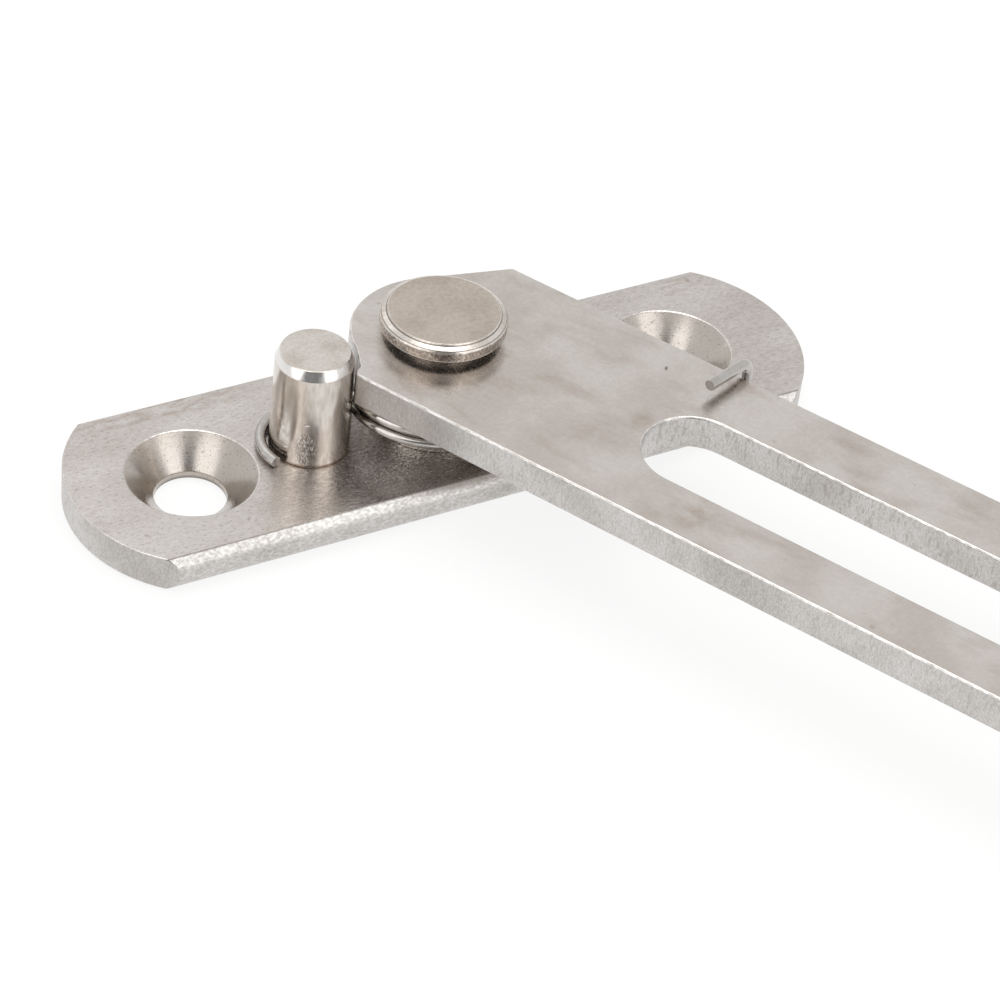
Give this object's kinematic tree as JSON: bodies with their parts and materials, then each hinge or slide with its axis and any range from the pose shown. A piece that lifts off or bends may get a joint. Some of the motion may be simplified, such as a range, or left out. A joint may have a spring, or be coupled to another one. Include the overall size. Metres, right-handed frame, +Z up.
{
  "type": "window restrictor",
  "caption": "Screw-on window restrictor: a flat base plate with a pivoted slotted arm that a hooked torsion spring turns back against a stop pin.",
  "frame": {"origin": "middle of the two screw holes, on the base plate's underside", "axes": "+X along the base plate from the stop pin to the pivot and on, +Z up out of the plate, along the pivot"},
  "size_m": [0.0869, 0.1148, 0.011],
  "materials": {
    "plate_steel": "tumbled stainless strip with rolled edges",
    "arm_steel": "tumbled stainless sheet with sheared edges",
    "turned_steel": "turned stainless steel, lightly tumbled",
    "spring_wire": "bright drawn stainless spring wire"
  },
  "bodies": {
    "base": {"base_plate": "plate_steel", "stop_pin": "turned_steel", "pivot_rivet": "turned_steel", "spacer_bush": "turned_steel", "torsion_spring": "spring_wire"},
    "arm": {"arm": "arm_steel"}
  },
  "joints": [
    {"name": "arm_swing", "type": "hinge", "parent": "base", "child": "arm", "pos_m": [-0.0003, 0, 0.00785], "axis": [0, 0, 1], "range_deg": [0, 120], "stiffness_Nm_per_rad": 0.06, "springref_deg": -28.65, "deforming": ["torsion_spring"]}
  ]
}
